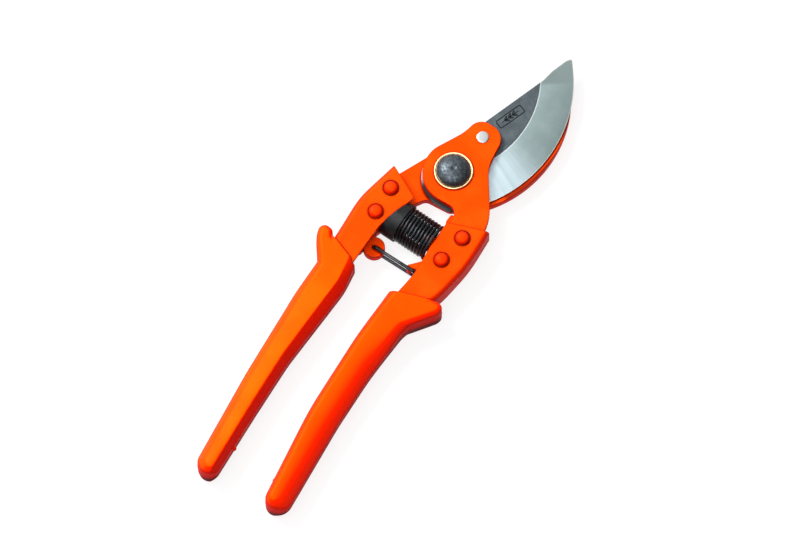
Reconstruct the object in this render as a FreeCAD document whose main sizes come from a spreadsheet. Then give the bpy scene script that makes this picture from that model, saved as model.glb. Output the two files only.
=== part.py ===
"""Bypass pruner, closed and latched, as an assembly of separate pieces.

Frame: millimetres. The origin is on the pivot axis in the plane the tool lies on, +Y points to the
blade's tip, +Z points up from that plane, and +X is the side that the cutting edge faces. The hook arm
carries the left handle (-X) and the blade arm carries the right handle (+X).
"""

import FreeCAD, Part

import math
import os

import Sketcher

Vector = FreeCAD.Vector

# ----------------------------------------------------------------------------------------------------
# Driving dimensions: alias, value, meaning
# ----------------------------------------------------------------------------------------------------
DIMENSIONS = [
    ("plate_base", 3.3, "underside of the hook plate and the latch plate"),
    ("plate_thick", 3.65, "thickness of the hook plate and the latch plate"),
    ("blade_base", 7.0, "underside of the blade, just clear of the hook plate"),
    ("blade_thick", 3.0, "thickness of the blade"),
    ("head_base", 10.0, "underside of the head plate"),
    ("head_thick", 2.5, "thickness of the head plate"),
    ("channel_base", 1.8, "underside of both channels"),
    ("channel_tall", 12.2, "height of both channels"),
    ("sheet_thick", 1.5, "sheet that the channels are pressed from"),
    ("channel_bend", 2.2, "outer radius of the channels' bends"),
    ("flange_setback", 4.0, "how far the lower flange stops short of the upper one"),
    ("grip_tall", 15.5, "height of the moulded grips"),
    ("grip_round", 3.5, "edge rounding of the grips"),
    ("guard_round", 2.3, "edge rounding of the finger guards"),
    ("bolt_radius", 4.0, "shank of the pivot bolt"),
    ("bolt_head_radius", 6.4, "domed head of the pivot bolt"),
    ("bolt_head_base", 13.25, "underside of the bolt's head"),
    ("bolt_head_rim", 0.6, "upright rim below the dome"),
    ("bolt_head_tall", 2.9, "height of the bolt's head"),
    ("bush_radius", 5.5, "outside of the pivot bush"),
    ("running_gap", 0.03, "radial clearance of parts that turn on the bush"),
    ("washer_base", 12.55, "underside of the brass washer"),
    ("washer_radius", 7.35, "outside of the brass washer"),
    ("nut_tall", 3.3, "height of the pivot nut"),
    ("nut_flats", 14.0, "width of the nut across its flats"),
    ("rivet_radius", 2.4, "shank of the handle rivets"),
    ("rivet_dome_radius", 2.75, "dome of the handle rivets"),
    ("rivet_ring_radius", 3.15, "thin ring round the dome"),
    ("rivet_ring_tall", 0.3, "height of that ring"),
    ("rivet_dome_tall", 1.75, "height of the rivet's head"),
    ("rivet_tail_tall", 1.1, "height of the head formed underneath"),
    ("spacer_radius", 4.0, "outside of the spacers round the rivets"),
    ("blade_rivet_radius", 2.0, "shank of the rivet that holds the blade"),
    ("blade_rivet_head", 2.35, "radius of that rivet's head"),
    ("blade_rivet_proud", 0.35, "how far that head stands up"),
    ("spring_axis_y", -26.4, "the spring's axis runs along X at this Y"),
    ("spring_axis_z", 8.0, "and at this height"),
    ("spring_radius", 6.8, "centre of the wire from the spring's axis"),
    ("spring_wire", 0.58, "radius of the spring's wire"),
    ("spring_pitch", 1.36, "distance from turn to turn with the tool latched"),
    ("spring_left", -4.95, "centre of the wire at the spring's left end"),
    ("spring_right", 7.95, "centre of the wire at the spring's right end"),
    ("cup_radius", 7.9, "outside of the spring cup"),
    ("cup_reach", 7.0, "length of the cup before its back is slanted"),
    ("cup_bore", 7.45, "bore of the cup that the first turn sits in"),
    ("cup_mouth", -3.8, "X of the cup's open end"),
    ("cup_depth", 1.8, "depth of that bore"),
    ("peg_hole", 5.95, "hole in the cup and the seat for the plates' pegs"),
    ("seat_radius", 7.4, "outside of the spring seat"),
    ("seat_thick", 1.0, "thickness of the spring seat"),
    ("seat_face", 9.6, "X of the shoulder that the seat rests on"),
    ("ear_x", -8.2, "centre of the ear that carries the catch"),
    ("ear_y", -40.0, "centre of the ear"),
    ("ear_radius", 4.1, "radius of the ear"),
    ("catch_hole", 0.73, "hole in the ear for the wire's ends"),
    ("catch_wire_radius", 0.65, "radius of the catch's wire"),
    ("catch_length", 18.1, "from the ear's hole to the catch's closed end"),
    ("catch_low", 2.6, "height of the lower strand"),
    ("catch_high", 7.65, "height of the upper strand"),
    ("catch_bend", 1.0, "bend radius of the wire"),
    ("catch_pin", 2.0, "length of each turned-in end, from its strand's centre"),
    ("catch_tilt", 1.3, "degrees from +X to the latched catch"),
]
SIZE = {alias: value for alias, value, meaning in DIMENSIONS}
FULL_TURN = 360.0

# ----------------------------------------------------------------------------------------------------
# Outlines seen from above: corners as (x, y, corner radius)
# ----------------------------------------------------------------------------------------------------
LEFT_RIVETS = [(-15.1, -19.3), (-14.4, -30.1)]
RIGHT_RIVETS = [(18.1, -20.3), (16.6, -31.7)]
BLADE_RIVET = (1.2, 17.3)
# The left channel's inner edge slants between these two points.
CHANNEL_MOUTH_X = (-5.75, -10.1)
CHANNEL_MOUTH_Y = (-17.5, -33.5)
PEG_REACH = 5.0

LEFT_OUTER = [(-19.6, -11.0, 0), (-22.9, -28.5, 35), (-21.2, -49.5, 30), (-18.2, -63, 60), (-12.9, -134, 0)]
LEFT_INNER = [
    (CHANNEL_MOUTH_X[0], CHANNEL_MOUTH_Y[0], 1.3),
    (CHANNEL_MOUTH_X[1], CHANNEL_MOUTH_Y[1], 14),
    (-9.7, -66, 100),
    (-10.9, -96, 120),
    (-7.6, -134, 0),
]
RIGHT_OUTER = [
    (24.9, -12.4, 0),
    (26.1, -27, 60),
    (24.4, -43, 40),
    (17.6, -64, 60),
    (17.6, -88, 90),
    (21.4, -132, 0),
]
RIGHT_INNER = [
    (9.8, -18.5, 0.8),
    (10.1, -29, 30),
    (11.4, -42, 25),
    (9.9, -58, 60),
    (10.0, -86, 110),
    (16.6, -132, 0),
]

LEFT_SLEEVE = [
    (-23.2, -46.5, 0),
    (-21.3, -58, 14),
    (-21.0, -73, 100),
    (-17.9, -109, 200),
    (-13.1, -147.9, 4.6),
    (-3.6, -153.4, 4.25),
    (-6.2, -119, 150),
    (-7.6, -96, 90),
    (-6.9, -61, 30),
    (-8.7, -51.4, 0),
]
LEFT_GUARD = [
    (-21.8, -47.4, 0.8),
    (-23.3, -44.9, 2.4),
    (-29.0, -44.2, 2.6),
    (-27.5, -50.2, 10),
    (-21.0, -58.5, 0),
    (-17.5, -58.5, 0),
    (-17.5, -48.8, 0),
]
RIGHT_SLEEVE = [
    (25.2, -45.9, 0),
    (20.6, -62.5, 16),
    (20.4, -84, 150),
    (21.5, -105, 150),
    (25.5, -143.9, 5.0),
    (16.5, -149.5, 4.3),
    (9.5, -107, 150),
    (7.3, -73, 150),
    (7.4, -52.6, 0),
]
RIGHT_GUARD = [
    (22.0, -47.2, 0),
    (23.5, -46.4, 5),
    (28.9, -44.5, 2.5),
    (27.7, -50.1, 5),
    (20.0, -61.6, 0),
    (17.5, -61.6, 0),
    (17.5, -49.3, 0),
]
HEAD_PLATE = [
    (7.4, 23.2, 6.0),
    (-4.3, 23.2, 5.5),
    (-5.4, 15.4, 20),
    (-11.3, 3.0, 9),
    (-12.0, -13.2, 12.2),
    (9.9, -11.7, 3.2),
    (10.3, -18.6, 2),
    (11.4, -37.5, 1.5),
    (23.0, -37.5, 1.5),
    (23.6, -15.0, 12),
    (21.6, -7.2, 20),
    (9.7, 8.7, 14),
]
BLADE = [
    (9.9, 63.5, 0.6),
    (8.6, 61.5, 3),
    (6.8, 54.6, 14),
    (6.2, 49.2, 10),
    (-2.9, 20.4, 10),
    (-7.6, 6.0, 5),
    (-8.0, -6.0, 4),
    (8.0, -8.5, 3),
    (16.1, -2.4, 0.5),
    (36.9, 31.2, 52.0),
]
# The blade's tang round the pivot, full thickness, which shows beyond the head plate at the lower left.
TANG = [
    (-10.9, 3.2, 4),
    (-12.2, -13.1, 11.8),
    (7.0, -13.1, 4),
    (11.5, -8.0, 4),
    (13.0, 3.0, 3),
    (4.0, 12.0, 5),
]
HOOK_PLATE = [
    (12.1, 58.4, 0.3),
    (40.8, 28.7, 46.9),
    (15.2, -6.1, 1.6),
    (10.2, -9.7, 1.0),
    (6.4, -12.3, 2.5),
    (-3.2, -13.4, 3.0),
    (-5.97, -18.3, 0),
    (-7.41, -23.6, 0),
    (-7.41 + PEG_REACH, -23.6, 0.8),
    (-7.41 + PEG_REACH, -29.2, 0.8),
    (-8.93, -29.2, 0),
    (CHANNEL_MOUTH_X[1], CHANNEL_MOUTH_Y[1], 0),
    (-10.5, -35.0, 0),
    (-10.5, -37.0, 0),
    (-11.4, -45.6, 2),
    (-19.6, -45.6, 2),
    (-21.0, -28.5, 30),
    (-18.5, -14.0, 4),
    (-10.6, 4.8, 8),
    (-4.0, 13.4, 7),
    (6.6, 13.4, 5),
    (13.9, 7.0, 2.4),
    (22.8, 33.1, 62.0),
]
LATCH_PLATE = [
    (7.9, -12.88, 0.9),
    (11.6, -12.54, 0.8),
    (21.8, -16.2, 2),
    (23.2, -28, 30),
    (21.6, -45.6, 2),
    (13.2, -45.6, 1.5),
    (10.95, -42.8, 1.0),
    (10.95, -38.45, 0.9),
    (8.3, -38.45, 0.9),
    (8.2, -40.5, 0.6),
    (6.4, -40.1, 0.7),
    (5.9, -38.6, 0.8),
    (SIZE["seat_face"], -34.2, 1.0),
    (SIZE["seat_face"], -29.2, 0),
    (SIZE["seat_face"] - PEG_REACH, -29.2, 0.8),
    (SIZE["seat_face"] - PEG_REACH, -23.6, 0.8),
    (SIZE["seat_face"], -23.6, 0),
    (SIZE["seat_face"], -18.3, 0.8),
    (7.9, -16.4, 1.2),
]
# The long hollow of the ground bevel is part of a cone about this upright axis.
BEVEL_CENTRE = (-26.6, 28.0)
BEVEL_START_RADIUS = 38.2
BEVEL_EDGE_RADIUS = 53.2
EDGE_LAND = 0.35
BEVEL_OVERRUN = 8.0


# ----------------------------------------------------------------------------------------------------
# Small tools
# ----------------------------------------------------------------------------------------------------
def rounded(corners, closed=True):
    """Lines and tangent arcs through corners given as (x, y, radius)."""
    count = len(corners)
    joints = []
    for i, (x, y, radius) in enumerate(corners):
        here = Vector(x, y, 0)
        if radius == 0 or (not closed and i in (0, count - 1)):
            joints.append((here, None, here))
            continue
        before = Vector(*corners[i - 1][:2], 0) - here
        after = Vector(*corners[(i + 1) % count][:2], 0) - here
        before.normalize()
        after.normalize()
        half = before.getAngle(after) / 2
        reach = radius / math.tan(half)
        middle = before + after
        middle.normalize()
        crown = here + middle * (radius / math.sin(half) - radius)
        joints.append((here + before * reach, crown, here + after * reach))
    pieces = []
    for i, (start, crown, end) in enumerate(joints):
        if crown is not None:
            pieces.append(Part.Arc(start, crown, end))
        if closed or i < count - 1:
            following = joints[(i + 1) % count][0]
            if (following - end).Length > 1e-6:
                pieces.append(Part.LineSegment(end, following))
    return pieces


def parallel(path, distance):
    """The open path moved sideways by distance, to its left as it runs, with its radii unchanged."""
    points = [Vector(x, y, 0) for x, y, radius in path]
    runs = [b - a for a, b in zip(points, points[1:])]
    sides = [Vector(-run.y, run.x, 0).normalize() for run in runs]
    moved = []
    for i, (x, y, radius) in enumerate(path):
        first = sides[max(i - 1, 0)]
        second = sides[min(i, len(sides) - 1)]
        middle = (first + second).normalize()
        shift = middle * (distance / middle.dot(first))
        moved.append((x + shift.x, y + shift.y, radius))
    return moved


def stretched(path, distance):
    """The open path with its first and last runs made longer by distance."""
    ends = []
    for end, inner in ((path[0], path[1]), (path[-1], path[-2])):
        run = Vector(end[0] - inner[0], end[1] - inner[1], 0).normalize() * distance
        ends.append((end[0] + run.x, end[1] + run.y, 0))
    return [ends[0], *path[1:-1], ends[1]]


def make_sheet(doc):
    """The spreadsheet that drives the sizes."""
    sheet = doc.addObject("Spreadsheet::Sheet", "Dimensions")
    for row, (alias, value, meaning) in enumerate(DIMENSIONS, start=1):
        sheet.set(f"A{row}", alias)
        sheet.set(f"B{row}", str(value))
        sheet.setAlias(f"B{row}", alias)
        sheet.set(f"C{row}", meaning)
    doc.recompute()
    return sheet


class Piece:
    """One sub-part as a PartDesign body. Heights and radii are expressions on the spreadsheet's aliases."""

    def __init__(self, doc, label):
        self.doc = doc
        self.body = doc.addObject("PartDesign::Body", label)
        self.body.Label = label
        self.body.AllowCompound = True
        self.count = 0

    def add(self, kind, name):
        self.count += 1
        return self.body.newObject(kind, f"{self.body.Name}_{name}_{self.count}")

    def sketch(self, name, plane="XY_Plane", offset=(0, 0, 0), height=None):
        """A sketch on one of the body's origin planes, moved by offset or lifted to the height expression."""
        sketch = self.add("Sketcher::SketchObject", name)
        face = next(f for f in self.body.Origin.OriginFeatures if f.Role == plane)
        sketch.AttachmentSupport = (face, [""])
        sketch.MapMode = "FlatFace"
        sketch.AttachmentOffset = FreeCAD.Placement(Vector(*offset), FreeCAD.Rotation())
        if height:
            sketch.setExpression("AttachmentOffset.Base.z", cells(height))
        return sketch

    def grow(self, name, sketch, length):
        """A pad of the sketch, upwards by the length expression."""
        pad = self.add("PartDesign::Pad", name)
        pad.Profile = sketch
        pad.setExpression("Length", cells(length))
        return pad

    def cut(self, name, sketch, length=None, upwards=False):
        """A pocket of the sketch: down through everything, or by the length expression."""
        self.doc.recompute()
        before = self.body.Shape.Volume
        pocket = self.add("PartDesign::Pocket", name)
        pocket.Profile = sketch
        if length:
            pocket.setExpression("Length", cells(length))
        else:
            pocket.Type = "ThroughAll"
        pocket.Reversed = upwards
        self.doc.recompute()
        if not self.body.Shape.Volume < before - 1e-3:
            raise RuntimeError(f"{self.body.Label}: pocket {name} cuts nothing")
        return pocket

    def turn(self, name, sketch, kind="PartDesign::Revolution"):
        """The sketch turned all the way round its own vertical axis, added or taken away."""
        feature = self.add(kind, name)
        feature.Profile = sketch
        feature.ReferenceAxis = (sketch, ["V_Axis"])
        feature.Angle = FULL_TURN
        return feature

    def dress(self, kind, name, wanted, amount):
        """A fillet or chamfer on the edges of the tip that pass the wanted test."""
        self.doc.recompute()
        tip = self.body.Tip
        names = [f"Edge{i}" for i, edge in enumerate(tip.Shape.Edges, start=1) if wanted(edge)]
        if not names:
            raise RuntimeError(f"{self.body.Label}: {name} finds no edge")
        feature = self.add(kind, name)
        feature.Base = (tip, names)
        feature.setExpression("Radius" if kind.endswith("Fillet") else "Size", cells(amount))
        return feature


def cells(expression):
    """An expression on aliases with each alias pointed at the spreadsheet."""
    words = expression.replace("(", " ( ").replace(")", " ) ").split()
    return " ".join(f"Dimensions.{word}" if word in SIZE else word for word in words)


def draw(sketch, corners, closed=True):
    """Draws a rounded outline in the sketch."""
    sketch.addGeometry(rounded(corners, closed), False)


def circle(sketch, centre, radius):
    """Draws a circle whose radius is a cell expression."""
    index = sketch.addGeometry(Part.Circle(Vector(*centre, 0), Vector(0, 0, 1), 1.0), False)
    fixed = sketch.addConstraint(Sketcher.Constraint("Radius", index, 1.0))
    sketch.addConstraint(Sketcher.Constraint("DistanceX", index, 3, centre[0]))
    sketch.addConstraint(Sketcher.Constraint("DistanceY", index, 3, centre[1]))
    sketch.setExpression(f"Constraints[{fixed}]", cells(radius))


def holes(piece, name, centres, radius, top):
    """Round holes of one size, cut down from the top height."""
    sketch = piece.sketch(f"{name}_outline", height=top)
    for centre in centres:
        circle(sketch, centre, radius)
    piece.cut(name, sketch)


def plate(doc, label, corners, base, thick):
    """A flat plate with a rounded outline."""
    piece = Piece(doc, label)
    sketch = piece.sketch("outline", height=base)
    draw(sketch, corners)
    piece.grow("sheet", sketch, thick)
    return piece


def ring(piece, name, centres, outside, inside, base, thick):
    """Flat rings or sleeves with upright axes."""
    sketch = piece.sketch(f"{name}_outline", height=base)
    for centre in centres:
        circle(sketch, centre, outside)
        circle(sketch, centre, inside)
    piece.grow(name, sketch, thick)


def profile(piece, name, at, points):
    """Turns a profile of (radius, height) points about an upright axis. A third number rounds the point."""
    sketch = piece.sketch(f"{name}_profile", plane="XZ_Plane", offset=(at[0], 0, -at[1]))
    draw(sketch, [(*point, 0) if len(point) == 2 else point for point in points])
    piece.turn(name, sketch)


def lengthwise(edge):
    """Whether the edge runs more along Y than along X."""
    first, last = edge.Vertexes[0].Point, edge.Vertexes[-1].Point
    return abs(last.y - first.y) > 1.2 * abs(last.x - first.x)


# ----------------------------------------------------------------------------------------------------
# Plates and blade
# ----------------------------------------------------------------------------------------------------
def hook_plate(doc):
    piece = plate(doc, "hook_plate", HOOK_PLATE, "plate_base", "plate_thick")
    ear = (SIZE["ear_x"], SIZE["ear_y"])
    sketch = piece.sketch("ear_outline", height="plate_base")
    circle(sketch, ear, "ear_radius")
    piece.grow("ear", sketch, "plate_thick")
    top = "plate_base + plate_thick"
    holes(piece, "pivot_hole", [(0, 0)], "bolt_radius", top)
    holes(piece, "rivet_holes", LEFT_RIVETS, "rivet_radius", top)
    holes(piece, "catch_hole", [ear], "catch_hole", top)
    return piece.body


def latch_plate(doc):
    piece = plate(doc, "latch_plate", LATCH_PLATE, "plate_base", "plate_thick")
    holes(piece, "rivet_holes", RIGHT_RIVETS, "rivet_radius", "plate_base + plate_thick")
    return piece.body


def head_plate(doc):
    piece = plate(doc, "head_plate", HEAD_PLATE, "head_base", "head_thick")
    top = "head_base + head_thick"
    holes(piece, "pivot_hole", [(0, 0)], "bush_radius + running_gap", top)
    holes(piece, "rivet_holes", RIGHT_RIVETS, "rivet_radius", top)
    holes(piece, "blade_rivet_hole", [BLADE_RIVET], "blade_rivet_radius", top)
    return piece.body


def cutting_blade(doc):
    piece = plate(doc, "cutting_blade", BLADE, "blade_base", "blade_thick")
    top = SIZE["blade_base"] + SIZE["blade_thick"]
    fall = SIZE["blade_thick"] - EDGE_LAND
    reach = BEVEL_EDGE_RADIUS - BEVEL_START_RADIUS
    low = top - fall * (reach + BEVEL_OVERRUN) / reach
    far = BEVEL_EDGE_RADIUS + BEVEL_OVERRUN
    offset = (BEVEL_CENTRE[0], 0, -BEVEL_CENTRE[1])
    sketch = piece.sketch("bevel_profile", plane="XZ_Plane", offset=offset)
    start = BEVEL_START_RADIUS
    draw(sketch, [(start, top, 0), (far, low, 0), (far, top + 1, 0), (start, top + 1, 0)])
    piece.turn("bevel", sketch, kind="PartDesign::Groove")
    sketch = piece.sketch("tang_outline", height="blade_base")
    draw(sketch, TANG)
    piece.grow("tang", sketch, "blade_thick")
    holes(piece, "pivot_hole", [(0, 0)], "bush_radius + running_gap", "head_base")
    holes(piece, "rivet_hole", [BLADE_RIVET], "blade_rivet_radius", "head_base")
    return piece.body


# ----------------------------------------------------------------------------------------------------
# Handles
# ----------------------------------------------------------------------------------------------------
def channel(doc, label, outer, inner, rivets):
    """A pressed U channel: web along the outer path, flanges reaching in to the inner path."""
    piece = plate(doc, label, [*outer, *reversed(inner)], "channel_base", "channel_tall")
    side = -1 if outer[0][0] < 0 else 1
    split = sum(x for x, y, radius in outer) / len(outer) * 0.75
    heights = (SIZE["channel_base"], SIZE["channel_base"] + SIZE["channel_tall"])

    def outer_bend(edge):
        middle = edge.CenterOfMass
        flat = all(min(abs(v.Point.z - h) for h in heights) < 1e-6 for v in edge.Vertexes)
        level = abs(edge.Vertexes[0].Point.z - edge.Vertexes[-1].Point.z) < 1e-6
        return flat and level and lengthwise(edge) and side * middle.x > side * split

    piece.dress("PartDesign::Fillet", "bends", outer_bend, "channel_bend")
    beyond = 12.0
    sketch = piece.sketch("hollow_outline", height="channel_base + sheet_thick")
    wall = stretched(parallel(outer, -side * SIZE["sheet_thick"]), beyond)
    far = -side * 4 * beyond
    draw(sketch, [*wall, (wall[-1][0] + far, wall[-1][1], 0), (wall[0][0] + far, wall[0][1], 0)])
    piece.cut("hollow", sketch, "channel_tall - 2 * sheet_thick", upwards=True)
    sketch = piece.sketch("setback_outline", height="channel_base")
    lip = stretched(parallel(inner, side * SIZE["flange_setback"]), beyond)
    draw(sketch, [*lip, (lip[-1][0] + far, lip[-1][1], 0), (lip[0][0] + far, lip[0][1], 0)])
    piece.cut("setback", sketch, "sheet_thick", upwards=True)
    holes(piece, "rivet_holes", rivets, "rivet_radius", "channel_base + channel_tall")
    return piece.body


def rounded_block(doc, label, corners, base, tall, rounding):
    """A moulded block whose lengthwise and end edges are rounded. Corners with no radius stay sharp."""
    piece = Piece(doc, label)
    sketch = piece.sketch("outline", height=base)
    draw(sketch, corners)
    piece.grow("block", sketch, tall)
    sharp = [(x, y) for x, y, radius in corners if radius == 0]

    def rim(edge):
        ends = [v.Point for v in edge.Vertexes]
        level = abs(ends[0].z - ends[-1].z) < 1e-6
        cut_off = all(min(math.hypot(p.x - x, p.y - y) for x, y in sharp) < 1e-3 for p in ends)
        return level and not cut_off

    piece.dress("PartDesign::Fillet", "rounding", rim, rounding)
    return piece


def grip(doc, label, sleeve, guard, outer, inner):
    """A moulded sleeve with a finger guard, hollow where the channel's tail runs into it."""
    horn = rounded_block(doc, f"{label}_guard", guard, None, "grip_tall", "guard_round")
    piece = rounded_block(doc, label, sleeve, None, "grip_tall", "grip_round")
    doc.recompute()
    joined = piece.add("PartDesign::Boolean", "guard")
    joined.Type = "Fuse"
    joined.setObjects([horn.body])
    sketch = piece.sketch("socket_outline", height="channel_base")
    draw(sketch, [*outer, *reversed(inner)])
    piece.cut("socket", sketch, "channel_tall", upwards=True)
    return piece.body


def rivets(doc, label, centres):
    """Domed rivets with a thin ring round the dome and a low head formed underneath."""
    piece = Piece(doc, label)
    low = SIZE["channel_base"]
    high = low + SIZE["channel_tall"]
    ring_top = high + SIZE["rivet_ring_tall"]
    crown = high + SIZE["rivet_dome_tall"]
    shank = SIZE["rivet_radius"]
    dome = SIZE["rivet_dome_radius"]
    edge = SIZE["rivet_ring_radius"]
    foot = low - SIZE["rivet_tail_tall"]
    points = [
        (0, foot),
        (edge - 0.5, foot),
        (edge, low - 0.4),
        (edge, low),
        (shank, low),
        (shank, high),
        (edge, high),
        (edge, ring_top),
        (dome, ring_top),
        (dome, crown, 1.35),
        (0, crown),
    ]
    for number, centre in enumerate(centres, start=1):
        profile(piece, f"rivet_{number}", centre, points)
    return piece.body


def spacers(doc, label, centres, base, top):
    piece = Piece(doc, label)
    ring(piece, "sleeves", centres, "spacer_radius", "rivet_radius", base, f"{top} - ( {base} )")
    return piece.body


# ----------------------------------------------------------------------------------------------------
# Pivot
# ----------------------------------------------------------------------------------------------------
def pivot_bolt(doc):
    piece = Piece(doc, "pivot_bolt")
    shank = SIZE["bolt_radius"]
    base = SIZE["bolt_head_base"]
    edge = SIZE["bolt_head_radius"]
    rim = base + SIZE["bolt_head_rim"]
    crown = base + SIZE["bolt_head_tall"]
    points = [(0, 0), (shank, 0), (shank, base), (edge, base), (edge, rim)]
    points += [(edge - 1.6, crown - 0.55, 4.0), (0, crown)]
    profile(piece, "bolt", (0, 0), points)
    return piece.body


def pivot_bush(doc):
    piece = Piece(doc, "pivot_bush")
    low = "plate_base + plate_thick"
    ring(piece, "sleeve", [(0, 0)], "bush_radius", "bolt_radius", low, f"washer_base - ( {low} )")
    return piece.body


def brass_washer(doc):
    piece = Piece(doc, "brass_washer")
    thick = "bolt_head_base - washer_base"
    ring(piece, "ring", [(0, 0)], "washer_radius", "bolt_radius", "washer_base", thick)
    return piece.body


def pivot_nut(doc):
    piece = Piece(doc, "pivot_nut")
    sketch = piece.sketch("hexagon")
    corner = SIZE["nut_flats"] / math.sqrt(3)
    angles = [math.radians(60 * i) for i in range(6)]
    draw(sketch, [(corner * math.cos(a), corner * math.sin(a), 0) for a in angles])
    piece.grow("hexagon_block", sketch, "nut_tall")
    holes(piece, "thread", [(0, 0)], "bolt_radius", "nut_tall")
    return piece.body


def blade_rivet(doc):
    piece = Piece(doc, "blade_rivet")
    low = SIZE["blade_base"]
    high = SIZE["head_base"] + SIZE["head_thick"]
    crown = high + SIZE["blade_rivet_proud"]
    shank = SIZE["blade_rivet_radius"]
    head = SIZE["blade_rivet_head"]
    points = [(0, low), (shank, low), (shank, high), (head, high), (head - 0.35, crown), (0, crown)]
    profile(piece, "rivet", BLADE_RIVET, points)
    return piece.body


# ----------------------------------------------------------------------------------------------------
# Spring and catch
# ----------------------------------------------------------------------------------------------------
def spring_cup(doc):
    """A collar round the spring's left end. Its back is slanted to lie on the left channel's inner edge."""
    piece = Piece(doc, "spring_cup")
    axis = (SIZE["spring_axis_y"], SIZE["spring_axis_z"])
    mouth = SIZE["cup_mouth"]
    sketch = piece.sketch("collar_outline", plane="YZ_Plane", offset=(0, 0, mouth - SIZE["cup_reach"]))
    circle(sketch, axis, "cup_radius")
    circle(sketch, axis, "peg_hole")
    piece.grow("collar", sketch, "cup_reach")
    sketch = piece.sketch("bore_outline", plane="YZ_Plane", offset=(0, 0, mouth))
    circle(sketch, axis, "cup_bore")
    piece.cut("bore", sketch, "cup_depth")
    slope = (CHANNEL_MOUTH_X[1] - CHANNEL_MOUTH_X[0]) / (CHANNEL_MOUTH_Y[1] - CHANNEL_MOUTH_Y[0])
    low, high = CHANNEL_MOUTH_Y[1] - 5, CHANNEL_MOUTH_Y[0] + 5
    at = [CHANNEL_MOUTH_X[0] + slope * (y - CHANNEL_MOUTH_Y[0]) + 0.05 for y in (low, high)]
    sketch = piece.sketch("back_outline", height="cup_radius + spring_axis_z + 1")
    draw(sketch, [(at[0], low, 0), (at[1], high, 0), (at[1] - 20, high, 0), (at[0] - 20, low, 0)])
    piece.cut("slanted_back", sketch)
    return piece.body


def spring_seat(doc):
    piece = Piece(doc, "spring_seat")
    axis = (SIZE["spring_axis_y"], SIZE["spring_axis_z"])
    left = SIZE["seat_face"] - SIZE["seat_thick"]
    sketch = piece.sketch("washer_outline", plane="YZ_Plane", offset=(0, 0, left))
    circle(sketch, axis, "seat_radius")
    circle(sketch, axis, "peg_hole")
    piece.grow("washer", sketch, "seat_thick")
    return piece.body


def return_spring(doc):
    """A close-wound compression spring along X, swept round a helix."""
    length = SIZE["spring_right"] - SIZE["spring_left"]
    helix = Part.makeLongHelix(SIZE["spring_pitch"], length, SIZE["spring_radius"])
    start = Vector(SIZE["spring_radius"], 0, 0)
    section = Part.Wire(Part.makeCircle(SIZE["spring_wire"], start, Vector(0, 1, 0)))
    coil = Part.Wire(helix).makePipeShell([section], True, True)
    spring = doc.addObject("Part::Feature", "return_spring")
    spring.Label = "return_spring"
    spring.Shape = coil
    place = Vector(SIZE["spring_left"], SIZE["spring_axis_y"], SIZE["spring_axis_z"])
    spring.Placement = FreeCAD.Placement(place, FreeCAD.Rotation(Vector(0, 1, 0), 90))
    return spring


def catch_wire(doc):
    """A bail of round wire: a strand above and one below the plates, their ends turned into the ear."""
    piece = Piece(doc, "catch_wire")
    low, high = SIZE["catch_low"], SIZE["catch_high"]
    bend = SIZE["catch_bend"]
    far = SIZE["catch_length"]
    pin = SIZE["catch_pin"]
    upper = [(0, high - pin, 0), (0, high, bend), (far, high, bend)]
    lower = [(far, low, bend), (0, low, bend), (0, low + pin, 0)]
    route = upper + lower
    spine = piece.sketch("route", plane="XZ_Plane")
    draw(spine, route, closed=False)
    section = piece.sketch("section")
    section.AttachmentOffset = FreeCAD.Placement(Vector(0, 0, high - pin), FreeCAD.Rotation())
    circle(section, (0, 0), "catch_wire_radius")
    pipe = piece.add("PartDesign::AdditivePipe", "bail")
    pipe.Profile = section
    pipe.Spine = (spine, [f"Edge{i + 1}" for i in range(len(spine.Geometry))])
    turn = FreeCAD.Rotation(Vector(0, 0, 1), SIZE["catch_tilt"])
    piece.body.Placement = FreeCAD.Placement(Vector(0, 0, 0), turn)
    piece.body.setExpression("Placement.Base.x", cells("ear_x"))
    piece.body.setExpression("Placement.Base.y", cells("ear_y"))
    return piece.body


# ----------------------------------------------------------------------------------------------------
# The assembly
# ----------------------------------------------------------------------------------------------------
def build(doc):
    make_sheet(doc)
    plate_top = "plate_base + plate_thick"
    flange = "channel_base + channel_tall - sheet_thick"
    return [
        hook_plate(doc),
        latch_plate(doc),
        head_plate(doc),
        cutting_blade(doc),
        channel(doc, "left_channel", LEFT_OUTER, LEFT_INNER, LEFT_RIVETS),
        channel(doc, "right_channel", RIGHT_OUTER, RIGHT_INNER, RIGHT_RIVETS),
        grip(doc, "left_grip", LEFT_SLEEVE, LEFT_GUARD, LEFT_OUTER, LEFT_INNER),
        grip(doc, "right_grip", RIGHT_SLEEVE, RIGHT_GUARD, RIGHT_OUTER, RIGHT_INNER),
        rivets(doc, "left_rivets", LEFT_RIVETS),
        rivets(doc, "right_rivets", RIGHT_RIVETS),
        spacers(doc, "left_spacers", LEFT_RIVETS, plate_top, flange),
        spacers(doc, "right_spacers", RIGHT_RIVETS, plate_top, "head_base"),
        pivot_bolt(doc),
        pivot_bush(doc),
        brass_washer(doc),
        pivot_nut(doc),
        blade_rivet(doc),
        spring_cup(doc),
        spring_seat(doc),
        return_spring(doc),
        catch_wire(doc),
    ]


def check(doc, pieces):
    """Stops before anything is written if an object failed or a shape is empty or broken."""
    doc.recompute()
    for item in doc.Objects:
        if "Invalid" in item.State or "Error" in item.State:
            raise RuntimeError(f"{item.Label} failed: {item.State}")
    for piece in pieces:
        if piece.Shape.isNull() or not piece.Shape.isValid():
            raise RuntimeError(f"{piece.Label} has no valid shape")


def main():
    doc = FreeCAD.newDocument("bypass_pruner")
    pieces = build(doc)
    check(doc, pieces)
    os.makedirs("parts", exist_ok=True)
    for piece in pieces:
        piece.Shape.exportStep(f"parts/{piece.Label}.step")
        print(piece.Label, len(piece.Shape.Solids), round(piece.Shape.Volume, 1))


main()
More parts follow.
